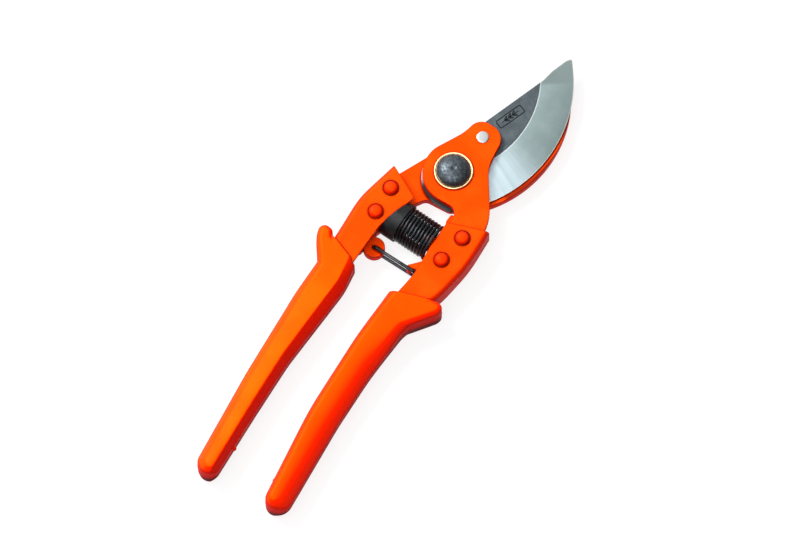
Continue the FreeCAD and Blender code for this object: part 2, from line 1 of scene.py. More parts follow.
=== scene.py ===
"""Looks of the bypass pruner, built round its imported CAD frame.

The frame, in metres: the origin is on the pivot axis, in the plane that the tool lies on. +Y points to the
blade's tip, +Z is up, and +X is the side that the cutting edge faces.
"""

import math

import bpy
from mathutils import Matrix, Vector


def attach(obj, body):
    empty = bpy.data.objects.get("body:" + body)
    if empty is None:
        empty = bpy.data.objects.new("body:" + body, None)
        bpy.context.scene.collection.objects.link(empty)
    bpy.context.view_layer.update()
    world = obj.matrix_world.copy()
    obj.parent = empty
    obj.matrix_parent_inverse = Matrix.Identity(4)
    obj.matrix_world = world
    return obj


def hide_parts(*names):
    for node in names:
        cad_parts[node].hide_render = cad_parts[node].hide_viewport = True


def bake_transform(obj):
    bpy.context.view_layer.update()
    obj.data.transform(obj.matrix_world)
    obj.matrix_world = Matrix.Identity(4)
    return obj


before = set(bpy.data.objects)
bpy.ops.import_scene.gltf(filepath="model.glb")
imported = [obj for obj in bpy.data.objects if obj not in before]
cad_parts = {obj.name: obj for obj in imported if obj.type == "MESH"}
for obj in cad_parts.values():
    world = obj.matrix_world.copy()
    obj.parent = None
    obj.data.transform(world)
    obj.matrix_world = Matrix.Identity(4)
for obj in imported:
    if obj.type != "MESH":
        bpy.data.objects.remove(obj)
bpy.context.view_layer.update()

MM = 0.001

# ----------------------------------------------------------------------------------------------------
# Places and sizes, in millimetres unless they say otherwise
# ----------------------------------------------------------------------------------------------------
LEFT_RIVETS = [(-15.1, -19.3), (-14.4, -30.1)]
RIGHT_RIVETS = [(18.1, -20.3), (16.6, -31.7)]
BLADE_RIVET = (1.2, 17.3)
CHANNEL_LOW, CHANNEL_HIGH = 1.8, 14.0
HEAD_TOP = 12.5
BLADE_LOW, BLADE_TOP = 7.0, 10.0

# The bevel and the hook's rim are both arcs about one centre.
BEVEL_CENTRE = (-26.6, 28.0)
BEVEL_START = 38.32
RIM_START, RIM_FULL = 52.2, 52.8

SPRING_Y, SPRING_Z, SPRING_RADIUS, SPRING_WIRE = -26.4, 8.0, 6.75, 0.63
SPRING_LEFT, SPRING_RIGHT, SPRING_TURNS = -4.95, 7.95, 9.5

EAR = (-8.2, -40.0)
CATCH_LENGTH, CATCH_TILT = 18.1, math.radians(1.3)
CATCH_LOW, CATCH_HIGH, CATCH_BEND, CATCH_WIRE, CATCH_PIN = 2.6, 7.65, 1.0, 0.65, 2.0

# Each grip's inner and outer edges from above, as (y, x).
GRIP_INNER = {
    "left_grip": [(-51.4, -8.7), (-61, -6.9), (-96, -7.6), (-119, -6.2), (-153.4, -3.6)],
    "right_grip": [(-52.6, 7.4), (-73, 7.3), (-107, 9.5), (-149.5, 16.5)],
}
GRIP_OUTER = {
    "left_grip": [(-46.5, -23.2), (-58, -21.3), (-73, -21.0), (-109, -17.9), (-147.9, -13.1)],
    "right_grip": [(-45.9, 25.2), (-62.5, 20.6), (-84, 20.4), (-105, 21.5), (-143.9, 25.5)],
}
GRIP_MIDDLE = 7.75
# Where each grip's ridge runs, as a share of its width from the inner edge, and how its half height falls
# from there: the fall to the inner edge, the fall to the outer edge and that fall's power.
GRIP_RIDGE = {"left_grip": (0.22, 3.4, 1.6, 1.6), "right_grip": (0.12, 1.0, 4.0, 2.2)}
NIB_Y = {"left_grip": -134.6, "right_grip": -136.2}
VOXEL, QUICK_VOXEL = 0.36, 0.45
SEAM_PROUD, SIDE_DRAWN_IN, NIB_PROUD = 0.10, 0.09, 0.75

# ----------------------------------------------------------------------------------------------------
# Colours, as linear red, green and blue
# ----------------------------------------------------------------------------------------------------
PAINT = {
    "deep": (0.86, 0.044, 0.0004),
    "clear": (0.93, 0.058, 0.0008),
    # Painted shade: the rivet heads are a deeper red than the same enamel elsewhere.
    "rivet": (0.62, 0.018, 0.0005),
    # Painted shade: the hook's rim, a side wall turned from the light, is dark red.
    "rim": (0.19, 0.010, 0.003),
    # Painted shade in tight corners.
    "corner": (0.13, 0.002, 0.0003),
    # Painted shade in wider recesses.
    "hollow": (0.42, 0.010, 0.0004),
    # Painted shade: faces that tilt a little turn redder, less on the lit side.
    "slope_shade": (0.60, 0.0075, 0.0003),
    # Painted shade: steep side walls are dark red.
    "side": (0.60, 0.006, 0.0004),
    # Painted shade: a near-black outline along the edges.
    "thin": (0.03, 0.0015, 0.0005),
}
VINYL_TONE = {
    # Painted light: the left grip's tones are yellower than the right's, as if it were lit more.
    "left_deep": (0.93, 0.062, 0.0004),
    "right_deep": (0.92, 0.044, 0.0003),
    "left_clear": (0.96, 0.092, 0.0005),
    "right_clear": (0.95, 0.058, 0.0004),
    "speck": (0.45, 0.02, 0.002),
    # Painted shade in corners.
    "corner": (0.24, 0.004, 0.0005),
    # Painted shade: faces that tilt a little turn redder, less on the lit side.
    "slope_shade": (0.88, 0.0085, 0.0003),
    # Painted shade: steep side walls are dark red.
    "side": (0.50, 0.005, 0.0004),
    # Painted shade: near black on the lowest part of steep faces.
    "foot": (0.05, 0.002, 0.003),
}
STEEL = {
    "forged": (0.040, 0.054, 0.061),
    "forged_pale": (0.068, 0.087, 0.096),
    "pit": (0.028, 0.038, 0.043),
    "ground": (0.20, 0.262, 0.262),
    "ground_line": (0.225, 0.290, 0.290),
    "cloud": (0.27, 0.335, 0.345),
    # Painted highlight near the pivot.
    "pivot_highlight": (0.44, 0.54, 0.585),
    # Painted highlight along the start of the bevel.
    "crest_highlight": (0.62, 0.68, 0.70),
    # Painted highlight in stripes near the pivot.
    "streak_highlight": (0.56, 0.65, 0.69),
    "tip": (0.27, 0.34, 0.335),
    # Painted highlight on the edges.
    "edge_highlight": (0.74, 0.72, 0.66),
    "border": (0.035, 0.045, 0.05),
    # Painted highlight: the lit edge of the tang.
    "rubbed": (0.34, 0.30, 0.31),
    # Painted shadow on the tang.
    "tang_shade_tone": (0.006, 0.006, 0.007),
    "worn": (0.33, 0.34, 0.36),
    # Darker in crevices.
    "crevice_dark": (0.05, 0.04, 0.03),
}


# ----------------------------------------------------------------------------------------------------
# Materials
# ----------------------------------------------------------------------------------------------------
class Finish:
    """A procedural material put together node by node. Lengths are in metres."""

    def __init__(self, name):
        self.material = bpy.data.materials.new(name)
        self.material.use_nodes = True
        self.tree = self.material.node_tree
        self.surface = self.tree.nodes["Principled BSDF"]
        self.place = self.node("ShaderNodeTexCoord").outputs["Object"]

    def node(self, kind, **settings):
        made = self.tree.nodes.new(kind)
        for name, value in settings.items():
            setattr(made, name, value)
        return made

    def put(self, socket, value):
        """Links an output into a socket, or sets a plain value on it."""
        if isinstance(value, bpy.types.NodeSocket):
            self.tree.links.new(value, socket)
        else:
            socket.default_value = value

    def set(self, **values):
        """Sets inputs of the surface, named with underscores for spaces."""
        for name, value in values.items():
            self.put(self.surface.inputs[name.replace("_", " ")], value)

    def noise(self, scale, detail=3.0, roughness=0.5, place=None):
        made = self.node("ShaderNodeTexNoise")
        self.put(made.inputs["Vector"], self.place if place is None else place)
        made.inputs["Scale"].default_value = scale
        made.inputs["Detail"].default_value = detail
        made.inputs["Roughness"].default_value = roughness
        return made.outputs["Fac"]

    def cells(self, scale):
        """Distance to the nearest of many scattered points."""
        made = self.node("ShaderNodeTexVoronoi")
        self.put(made.inputs["Vector"], self.place)
        made.inputs["Scale"].default_value = scale
        return made.outputs["Distance"]

    def math(self, operation, a, b=0.0, c=0.0):
        made = self.node("ShaderNodeMath", operation=operation)
        for socket, value in zip(made.inputs, (a, b, c)):
            self.put(socket, value)
        return made.outputs[0]

    def times(self, a, b):
        return self.math("MULTIPLY", a, b)

    def span(self, value, low, high, to_low=0.0, to_high=1.0):
        """The value's range low to high mapped smoothly to another range, held at its ends."""
        made = self.node("ShaderNodeMapRange", clamp=True, interpolation_type="SMOOTHSTEP")
        for name, number in (("Value", value), ("From Min", low), ("From Max", high),
                             ("To Min", to_low), ("To Max", to_high)):
            self.put(made.inputs[name], number)
        return made.outputs["Result"]

    def mix(self, factor, a, b):
        """Colour a where the factor is 0 and colour b where it is 1."""
        made = self.node("ShaderNodeMix", data_type="RGBA")
        self.put(made.inputs["Factor"], factor)
        for name, value in (("A", a), ("B", b)):
            socket = next(s for s in made.inputs if s.name == name and s.type == "RGBA")
            self.put(socket, (*value, 1.0) if isinstance(value, tuple) else value)
        return next(s for s in made.outputs if s.type == "RGBA")

    def stretch(self, x, y, z):
        """The object's coordinates scaled along each axis."""
        made = self.node("ShaderNodeMapping")
        self.put(made.inputs["Vector"], self.place)
        made.inputs["Scale"].default_value = (x, y, z)
        return made.outputs["Vector"]

    def split(self, vector=None):
        """X, Y and Z of a vector, or of the place in the object."""
        made = self.node("ShaderNodeSeparateXYZ")
        self.put(made.inputs[0], self.place if vector is None else vector)
        return made.outputs

    def combine(self, x, y):
        made = self.node("ShaderNodeCombineXYZ")
        self.put(made.inputs[0], x)
        self.put(made.inputs[1], y)
        return made.outputs[0]

    def offset(self, centre):
        """How far the place is from a centre in X, in Y and in all, seen from above."""
        x, y, _ = self.split()
        dx = self.math("SUBTRACT", x, centre[0] * MM)
        dy = self.math("SUBTRACT", y, centre[1] * MM)
        return dx, dy, self.math("SQRT", self.math("ADD", self.times(dx, dx), self.times(dy, dy)))

    def bump(self, height, strength, depth, under=None):
        made = self.node("ShaderNodeBump")
        made.inputs["Strength"].default_value = strength
        made.inputs["Distance"].default_value = depth
        self.put(made.inputs["Height"], height)
        if under is not None:
            self.put(made.inputs["Normal"], under)
        return made.outputs["Normal"]

    def crevice(self, reach):
        """0 in tight corners, 1 in the open."""
        made = self.node("ShaderNodeAmbientOcclusion", samples=4)
        made.inputs["Distance"].default_value = reach
        return made.outputs["AO"]

    def slope(self, level, steep, share, lit_side_share=1.0):
        """A mask for painted shade and the specular level: 0 on faces that look up or down, the share on
        steeper ones, and on faces towards -X, the lit side, only the last argument's part of it.
        """
        normal = self.split(self.node("ShaderNodeNewGeometry").outputs["Normal"])
        tilt = self.span(self.math("ABSOLUTE", normal[2]), level, steep, 0.0, share)
        return self.times(tilt, self.span(normal[0], -0.45, 0.15, lit_side_share, 1.0))

    def edge(self, radius, even=0.995, bent=0.88):
        """0 on even surfaces, 1 on edges and in corners. The last two numbers are cosines of the turn."""
        soft = self.node("ShaderNodeBevel", samples=4)
        soft.inputs["Radius"].default_value = radius
        sharp = self.node("ShaderNodeNewGeometry").outputs["Normal"]
        both = self.node("ShaderNodeVectorMath", operation="DOT_PRODUCT")
        self.put(both.inputs[0], soft.outputs["Normal"])
        self.put(both.inputs[1], sharp)
        return self.span(both.outputs["Value"], even, bent)


def orange_enamel():
    """Stoved enamel on steel with a faint orange peel. Painted shade darkens the corners, recesses, the
    hook's rim and the rivet heads, turns steep faces redder and lays a dark outline along the edges.
    """
    f = Finish("orange_enamel")
    broad = f.noise(90, 3)
    body = f.mix(f.span(broad, 0.35, 0.7), PAINT["deep"], PAINT["clear"])
    _, y, z = f.split()
    # Painted shade: above the channels' tops, that is on the rivet heads, the enamel turns a deeper red.
    body = f.mix(f.span(z, (CHANNEL_HIGH + 0.05) * MM, (CHANNEL_HIGH + 0.2) * MM, 0.0, 0.6), body,
                 PAINT["rivet"])
    # Painted shade: the hook's rim, far from the bevel's centre and ahead of the pivot, is dark red.
    radius = f.offset(BEVEL_CENTRE)[2]
    rim = f.times(f.span(radius, RIM_START * MM, RIM_FULL * MM), f.span(y, 2 * MM, 5 * MM))
    body = f.mix(f.times(rim, 0.92), body, PAINT["rim"])
    # Painted shade: darker in tight corners.
    body = f.mix(f.span(f.crevice(0.9 * MM), 0.985, 0.70), body, PAINT["corner"])
    # Painted shade: darker red in wider recesses.
    body = f.mix(f.span(f.crevice(3.0 * MM), 0.85, 0.35, 0.0, 0.8), body, PAINT["hollow"])
    # Painted shade: faces that tilt a little turn redder, less on the lit side.
    body = f.mix(f.slope(0.99, 0.84, 0.85, 0.6), body, PAINT["slope_shade"])
    # Painted shade: steep side walls are dark red.
    body = f.mix(f.slope(0.70, 0.20, 0.9), body, PAINT["side"])
    # Painted shade: a near-black outline along the edges, broken up by noise.
    edge_breakup = f.span(f.noise(420, 4), 0.30, 0.62, 0.75, 0.93)
    body = f.mix(f.times(f.edge(0.60 * MM, 0.997, 0.95), edge_breakup), body, PAINT["thin"])
    scuff = f.span(f.noise(60, 6, 0.7, f.stretch(1.0, 14.0, 1.0)), 0.66, 0.78)
    rough = f.math("ADD", f.span(broad, 0.3, 0.7, 0.36, 0.46), f.times(scuff, 0.14))
    f.set(Base_Color=body, Roughness=rough, Specular_Tint=(1.0, 0.30, 0.03, 1.0))
    f.set(Specular_IOR_Level=f.math("SUBTRACT", 0.20, f.slope(0.85, 0.30, 0.18)))
    peel = f.bump(f.noise(1300, 2, 0.4), 0.18, 0.05 * MM)
    f.set(Normal=f.bump(f.noise(260, 3), 0.12, 0.12 * MM, peel))
    return f.material


def orange_vinyl():
    """Dipped vinyl, softer and lighter than the enamel. The left grip is painted yellower as painted light,
    and painted shade darkens corners, steep sides and their lower parts.
    """
    f = Finish("orange_vinyl")
    # Painted light: a step across X makes the left grip yellower than the right, as if lit more.
    side = f.span(f.split()[0], -10 * MM, 8 * MM)
    deep = f.mix(side, VINYL_TONE["left_deep"], VINYL_TONE["right_deep"])
    clear = f.mix(side, VINYL_TONE["left_clear"], VINYL_TONE["right_clear"])
    body = f.mix(f.span(f.noise(38, 4), 0.30, 0.70), deep, clear)
    speck = f.span(f.noise(900, 2), 0.70, 0.78)
    body = f.mix(f.times(speck, 0.3), body, VINYL_TONE["speck"])
    # Painted shade: darker in corners.
    body = f.mix(f.span(f.crevice(1.6 * MM), 0.9, 0.45), body, VINYL_TONE["corner"])
    # Painted shade: faces that tilt a little turn redder, less on the lit side.
    body = f.mix(f.slope(0.995, 0.88, 0.9, 0.35), body, VINYL_TONE["slope_shade"])
    # Painted shade: steep side walls are dark red.
    body = f.mix(f.slope(0.70, 0.20, 0.9), body, VINYL_TONE["side"])
    # Painted shade: the lowest part of steep faces, below 8.5 mm, turns near black.
    foot = f.times(f.slope(0.70, 0.20, 0.85, 0.3), f.span(f.split()[2], 8.5 * MM, 5.5 * MM))
    body = f.mix(foot, body, VINYL_TONE["foot"])
    f.set(Base_Color=body, Roughness=f.span(f.noise(120, 5, 0.6), 0.3, 0.7, 0.34, 0.46))
    f.set(Specular_Tint=(1.0, 0.34, 0.01, 1.0))
    f.set(Specular_IOR_Level=f.math("SUBTRACT", 0.15, f.slope(0.85, 0.30, 0.14)))
    grain = f.bump(f.cells(1500), 0.12, 0.05 * MM)
    f.set(Normal=f.bump(f.noise(170, 3), 0.16, 0.16 * MM, grain))
    return f.material


def ground_blade():
    """Forged flat, matt and dark, beside a bright ground bevel with fine lines across the edge."""
    f = Finish("blade_steel")
    x, y, z = f.split()
    dx, dy, radius = f.offset(BEVEL_CENTRE)
    angle = f.math("ARCTAN2", dy, dx)

    # The ground part lies beyond a ragged border, ahead of the tang and on the upper side.
    start = BEVEL_START * MM
    ragged = f.math("MULTIPLY_ADD", f.noise(700, 3), 0.22 * MM, radius)
    ground = f.times(f.span(ragged, start, start + 0.12 * MM), f.span(y, -4.0 * MM, -2.0 * MM))
    ground = f.times(ground, f.math("GREATER_THAN", z, (BLADE_TOP - 2.75) * MM))
    fan = f.combine(angle, f.times(radius, 0.6))
    lines = f.noise(950, 4, 0.6, fan)

    forged = f.mix(f.span(f.noise(210, 5, 0.65), 0.35, 0.7), STEEL["forged"], STEEL["forged_pale"])
    forged = f.mix(f.span(f.cells(1100), 0.0, 0.35), STEEL["pit"], forged)

    bright = f.mix(f.span(lines, 0.3, 0.72), STEEL["ground"], STEEL["ground_line"])
    bright = f.mix(f.span(f.noise(140, 4, 0.55), 0.40, 0.68, 0.0, 0.5), bright, STEEL["cloud"])
    patches = f.span(f.noise(9, 2, 0.4, fan), 0.25, 0.55, 0.55, 1.0)
    # Painted highlight: the bevel near the pivot is painted bright in patches.
    pivot_highlight = f.times(f.span(y, 27 * MM, 9 * MM), patches)
    bright = f.mix(pivot_highlight, bright, STEEL["pivot_highlight"])
    # Painted highlight: a bright line just past the border of the bevel.
    crest_highlight = f.times(f.span(ragged, start, start + 0.1 * MM),
                    f.span(ragged, start + 0.55 * MM, start + 0.2 * MM))
    bright = f.mix(f.times(crest_highlight, 0.8), bright, STEEL["crest_highlight"])
    # Painted highlight: bright stripes across the bevel near the pivot.
    highlight_streaks = f.span(f.noise(26, 2, 0.5, f.combine(angle, f.times(radius, 0.8))), 0.42, 0.72, 0.0, 0.40)
    bright = f.mix(f.times(pivot_highlight, highlight_streaks), bright, STEEL["streak_highlight"])
    bright = f.mix(f.span(y, 42 * MM, 58 * MM, 0.0, 0.7), bright, STEEL["tip"])
    # Painted highlight: the blade's edges are painted bright.
    bright = f.mix(f.times(f.edge(0.60 * MM, 0.997, 0.95), 0.85), bright, STEEL["edge_highlight"])

    colour = f.mix(ground, forged, bright)
    border = f.times(f.span(ragged, start - 0.5 * MM, start), f.span(ragged, start + 0.30 * MM, start))
    colour = f.mix(f.times(border, 0.55), colour, STEEL["border"])
    # Painted highlight: the tang's edge at the upper left of the head plate is painted pale, as lit.
    rubbed = f.times(f.span(x, -4 * MM, -9 * MM), f.span(y, 5 * MM, 1 * MM))
    colour = f.mix(f.times(rubbed, 0.9), colour, STEEL["rubbed"])
    # Painted shadow: the tang's lower part, towards the spring, is near black.
    tang_shadow = f.times(f.span(x, -9 * MM, -6 * MM), f.span(y, -5 * MM, -8 * MM))
    colour = f.mix(tang_shadow, colour, STEEL["tang_shade_tone"])

    f.set(Base_Color=colour, Metallic=f.span(ground, 0, 1, 0.55, 0.86))
    f.set(Roughness=f.math("ADD", f.span(ground, 0, 1, 0.52, 0.40), f.span(lines, 0.3, 0.7, -0.05, 0.06)))
    scale = f.times(f.noise(900, 4, 0.6), f.math("SUBTRACT", 1.0, ground))
    f.set(Normal=f.bump(f.times(lines, ground), 0.10, 0.015 * MM, f.bump(scale, 0.35, 0.06 * MM)))
    return f.material


def dark_steel(name, tone, sheen, rough, scale):
    """Blackened steel with rubbed high spots."""
    f = Finish(name)
    blotch = f.noise(scale, 5, 0.6)
    body = f.mix(f.span(blotch, 0.36, 0.66), tone, sheen)
    worn = f.times(f.edge(0.18 * MM), f.span(f.noise(500, 4), 0.40, 0.6))
    body = f.mix(f.times(worn, 0.7), body, STEEL["worn"])
    f.set(Base_Color=body, Metallic=0.75, Roughness=f.span(blotch, 0.3, 0.7, rough + 0.1, rough - 0.04))
    grit = f.bump(f.noise(1500, 3, 0.6), 0.22, 0.04 * MM)
    f.set(Normal=f.bump(f.noise(420, 4), 0.20, 0.08 * MM, grit))
    return f.material


def bright_metal(name, tone, shade, rough):
    """Plated or polished metal with a fine grain and faint tarnish."""
    f = Finish(name)
    tarnish = f.noise(300, 5, 0.6)
    body = f.mix(f.span(tarnish, 0.38, 0.7), tone, shade)
    # Darker in crevices.
    body = f.mix(f.span(f.crevice(0.8 * MM), 0.7, 0.2), body, STEEL["crevice_dark"])
    f.set(Base_Color=body, Metallic=0.95, Roughness=f.span(tarnish, 0.3, 0.7, rough, rough + 0.12))
    f.set(Normal=f.bump(f.noise(1400, 3), 0.12, 0.03 * MM))
    return f.material


def black_moulding():
    """Moulded black plastic with a matt spark-eroded grain and a little dust."""
    f = Finish("black_moulding")
    dust = f.noise(240, 5, 0.65)
    body = f.mix(f.span(dust, 0.42, 0.72), (0.003, 0.0035, 0.004), (0.010, 0.011, 0.013))
    f.set(Base_Color=body, Roughness=f.span(dust, 0.3, 0.7, 0.38, 0.52), Specular_IOR_Level=0.24)
    grain = f.bump(f.cells(1700), 0.25, 0.04 * MM)
    f.set(Normal=f.bump(f.noise(520, 4, 0.65), 0.55, 0.22 * MM, grain))
    return f.material


ENAMEL = orange_enamel()
VINYL = orange_vinyl()
BLADE = ground_blade()
BLACK_STEEL = dark_steel("black_steel", (0.028, 0.036, 0.042), (0.070, 0.086, 0.098), 0.40, 900)
SPRING_STEEL = dark_steel("spring_steel", (0.010, 0.011, 0.013), (0.030, 0.033, 0.038), 0.24, 160)
CATCH_STEEL = dark_steel("catch_steel", (0.018, 0.020, 0.024), (0.08, 0.086, 0.096), 0.18, 160)
ZINC = bright_metal("bright_steel", (0.46, 0.48, 0.48), (0.32, 0.34, 0.35), 0.28)
BRASS = bright_metal("brass", (1.0, 0.74, 0.40), (0.80, 0.54, 0.26), 0.34)
MOULDING = black_moulding()
ETCH = dark_steel("etched_mark", (0.003, 0.004, 0.0045), (0.008, 0.010, 0.012), 0.60, 700)


# ----------------------------------------------------------------------------------------------------
# Mesh tools
# ----------------------------------------------------------------------------------------------------
def place(name, points, faces, material, body, slot, node=None, smooth=True):
    """A mesh from points in millimetres, riding on a body."""
    mesh = bpy.data.meshes.new(name)
    mesh.from_pydata([Vector(p) * MM for p in points], [], faces)
    mesh.validate()
    mesh.materials.append(material)
    mesh.polygons.foreach_set("use_smooth", [smooth] * len(mesh.polygons))
    item = bpy.data.objects.new(name, mesh)
    bpy.context.scene.collection.objects.link(item)
    if body:
        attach(item, body)
    if node:
        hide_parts(node)
    return item


def turned(profile, centre=(0, 0), around=96):
    """Points and faces of a profile of (radius, height) turned about an upright axis. Radius 0 closes it."""
    points, rings = [], []
    for radius, height in profile:
        if radius == 0:
            rings.append([len(points)])
            points.append((centre[0], centre[1], height))
            continue
        rings.append([len(points) + i for i in range(around)])
        for i in range(around):
            a = math.tau * i / around
            points.append((centre[0] + radius * math.cos(a), centre[1] + radius * math.sin(a), height))
    faces = []
    for low, high in zip(rings, rings[1:]):
        for i in range(around):
            j = (i + 1) % around
            if len(low) == 1:
                faces.append((low[0], high[j], high[i]))
            elif len(high) == 1:
                faces.append((low[i], low[j], high[0]))
            else:
                faces.append((low[i], low[j], high[j], high[i]))
    return points, faces


def join(*meshes):
    """Several (points, faces) as one."""
    points, faces = [], []
    for more_points, more_faces in meshes:
        shift = len(points)
        points += more_points
        faces += [tuple(i + shift for i in face) for face in more_faces]
    return points, faces


def dome(radius, base, top, steps=10):
    """The profile of a dome from its rim inwards, a quarter of an ellipse."""
    turns = [math.pi / 2 * i / steps for i in range(steps + 1)]
    return [(radius * math.cos(t) if i < steps else 0, base + (top - base) * math.sin(t))
            for i, t in enumerate(turns)]


def tube(path, radius, around=14):
    """Points and faces of a round wire along a path, with rounded ends."""
    spine = [Vector(p) for p in path]
    last = len(spine) - 1
    tangents = [(spine[min(i + 1, last)] - spine[max(i - 1, 0)]).normalized() for i in range(last + 1)]
    side = tangents[0].orthogonal().normalized()
    rings = []
    for at, tangent in zip(spine, tangents):
        side = (side - tangent * side.dot(tangent)).normalized()
        rings.append((at, side, tangent.cross(side), 1.0))
    # How far back from the end each ring of a rounded end is, and how wide it is.
    caps = [(0.0, 0.25), (0.45, 0.75), (0.8, 0.95)]
    start = [(spine[0] - tangents[0] * radius * (1 - back) * 0.6, *rings[0][1:3], wide)
             for back, wide in caps]
    end = [(spine[-1] + tangents[-1] * radius * (1 - back) * 0.6, *rings[-1][1:3], wide)
           for back, wide in reversed(caps)]
    rings = start + rings + end
    points = []
    for at, u, v, wide in rings:
        for i in range(around):
            a = math.tau * i / around
            points.append(tuple(at + (u * math.cos(a) + v * math.sin(a)) * radius * wide))
    faces = [tuple(reversed(range(around)))]
    for r in range(len(rings) - 1):
        low, high = r * around, (r + 1) * around
        for i in range(around):
            j = (i + 1) % around
            faces.append((low + i, low + j, high + j, high + i))
    faces.append(tuple(range((len(rings) - 1) * around, len(rings) * around)))
    return points, faces


def arc(x, z, start, end, radius):
    """Points on an arc about a centre in the XZ plane, from one angle to another in degrees."""
    steps = 8
    turns = [math.radians(start + (end - start) * i / steps) for i in range(steps + 1)]
    return [(x + radius * math.cos(t), 0, z + radius * math.sin(t)) for t in turns]


# ----------------------------------------------------------------------------------------------------
# Plates, channels, blade and other hard parts: the CAD solids with softened edges
# ----------------------------------------------------------------------------------------------------
def soften(node, width, material):
    """Rounds a CAD node's sharp edges and paints it."""
    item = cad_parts[node]
    item.data.materials.clear()
    item.data.materials.append(material)
    item.data.polygons.foreach_set("use_smooth", [True] * len(item.data.polygons))
    weld = item.modifiers.new("weld", "WELD")
    weld.merge_threshold = 0.002 * MM
    flat = item.modifiers.new("flat", "DECIMATE")
    flat.decimate_type = "DISSOLVE"
    flat.angle_limit = math.radians(0.6)
    flat.delimit = set()
    bevel = item.modifiers.new("bevel", "BEVEL")
    bevel.width = width * MM
    bevel.segments = 3
    bevel.limit_method = "ANGLE"
    bevel.angle_limit = math.radians(32)
    bevel.use_clamp_overlap = True
    bevel.miter_outer = "MITER_ARC"
    normals = item.modifiers.new("normals", "WEIGHTED_NORMAL")
    normals.keep_sharp = False
    normals.weight = 80


for node, width, material in (
    ("hook_plate", 0.50, ENAMEL),
    ("latch_plate", 0.30, ENAMEL),
    ("head_plate", 0.32, ENAMEL),
    ("left_channel", 0.18, ENAMEL),
    ("right_channel", 0.18, ENAMEL),
    ("cutting_blade", 0.12, BLADE),
    ("spring_cup", 0.35, MOULDING),
    ("spring_seat", 0.20, MOULDING),
    ("pivot_bush", 0.10, ZINC),
    ("left_spacers", 0.10, ZINC),
    ("right_spacers", 0.10, ZINC),
):
    soften(node, width, material)


# ----------------------------------------------------------------------------------------------------
# Grips: the CAD solids remeshed and eased, with a ridge, a falling crown, a mould line and a nib each
# ----------------------------------------------------------------------------------------------------
def line_x(line, y):
    """X on a polyline of (y, x) that runs towards -Y, carried on past its ends."""
    pairs = list(zip(line, line[1:]))
    (y0, x0), (y1, x1) = next((p for p in pairs if p[1][0] <= y), pairs[-1])
    return x0 + (x1 - x0) * (y - y0) / (y1 - y0)


def eased(value, low, high):
    """0 up to the low value, 1 from the high one, and a smooth step between."""
    t = min(max((value - low) / (high - low), 0.0), 1.0)
    return t * t * (3 - 2 * t)


def crown(node, point):
    """How far the grip's half height is drawn in at a point, on either side of its ridge."""
    x, y = point.x / MM, point.y / MM
    inner, outer = line_x(GRIP_INNER[node], y), line_x(GRIP_OUTER[node], y)
    across = (x - inner) / (outer - inner)
    ridge, inner_fall, outer_fall, power = GRIP_RIDGE[node]
    if across > ridge:
        share = min((across - ridge) / (1 - ridge), 1.15) ** power
        return outer_fall * share * (0.15 + 0.85 * eased(-y, 52, 82))
    share = min((ridge - across) / ridge, 1.15)
    return inner_fall * share * (0.45 + 0.55 * eased(-y, 52, 62))


def remeshed(item):
    """The object's mesh rebuilt from even voxels and smoothed a little."""
    weld = item.modifiers.new("weld", "WELD")
    weld.merge_threshold = 0.002 * MM
    voxels = item.modifiers.new("voxels", "REMESH")
    voxels.mode = "VOXEL"
    voxels.voxel_size = VOXEL * MM
    ease = item.modifiers.new("ease", "SMOOTH")
    ease.factor = 0.5
    ease.iterations = 5
    bpy.context.view_layer.update()
    final = bpy.data.meshes.new_from_object(item.evaluated_get(bpy.context.evaluated_depsgraph_get()))
    item.modifiers.clear()
    return final


def moulded_grip(node, body, inward):
    """A grip that replaces a CAD node. Inward is the sign of X towards the other grip."""
    item = bpy.data.objects.new(f"{node}_moulded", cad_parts[node].data.copy())
    bpy.context.scene.collection.objects.link(item)
    mesh = remeshed(item)
    item.data = mesh
    mesh.materials.clear()
    mesh.materials.append(VINYL)
    mesh.polygons.foreach_set("use_smooth", [True] * len(mesh.polygons))
    middle = GRIP_MIDDLE * MM
    for vertex in mesh.vertices:
        shrink = crown(node, vertex.co) / GRIP_MIDDLE
        vertex.co.z = middle + (vertex.co.z - middle) * (1 - shrink)
    mesh.update()
    normals = [v.normal.copy() for v in mesh.vertices]
    for vertex, normal in zip(mesh.vertices, normals):
        upright = 1.0 - abs(normal.z)
        up, away = (vertex.co.z - middle) / MM, vertex.co.y / MM - NIB_Y[node]
        seam = math.exp(-((up / 0.22) ** 2)) * upright
        nib = math.exp(-((up / 1.3) ** 4) - (away / 0.75) ** 4) * max(normal.x * inward, 0)
        vertex.co += normal * (SEAM_PROUD * seam - SIDE_DRAWN_IN * upright + NIB_PROUD * nib) * MM
    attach(item, body)
    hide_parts(node)


moulded_grip("left_grip", "hook_arm", 1)
moulded_grip("right_grip", "blade_arm", -1)


# ----------------------------------------------------------------------------------------------------
# Fasteners
# ----------------------------------------------------------------------------------------------------
def rivet_mesh(centre):
    """A domed head on a thin pressed ring, with the head formed underneath."""
    low, high = CHANNEL_LOW, CHANNEL_HIGH
    tail = [(0, low - 1.1), (2.3, low - 1.1), (2.85, low - 0.85), (3.12, low - 0.4), (3.12, low + 0.02),
            (2.4, low + 0.05)]
    ring = [(2.4, high - 0.05), (3.15, high), (3.14, high + 0.16), (3.02, high + 0.27), (2.86, high + 0.28),
            (2.76, high + 0.16), (2.68, high + 0.16), (2.62, high + 0.34), (2.52, high + 0.62)]
    return turned(tail + ring + dome(2.46, high + 0.72, high + 1.75), centre, 72)


place("left_rivet_heads", *join(*[rivet_mesh(c) for c in LEFT_RIVETS]), ENAMEL, "hook_arm",
      "orange_paint", "left_rivets")
place("right_rivet_heads", *join(*[rivet_mesh(c) for c in RIGHT_RIVETS]), ENAMEL, "blade_arm",
      "orange_paint", "right_rivets")

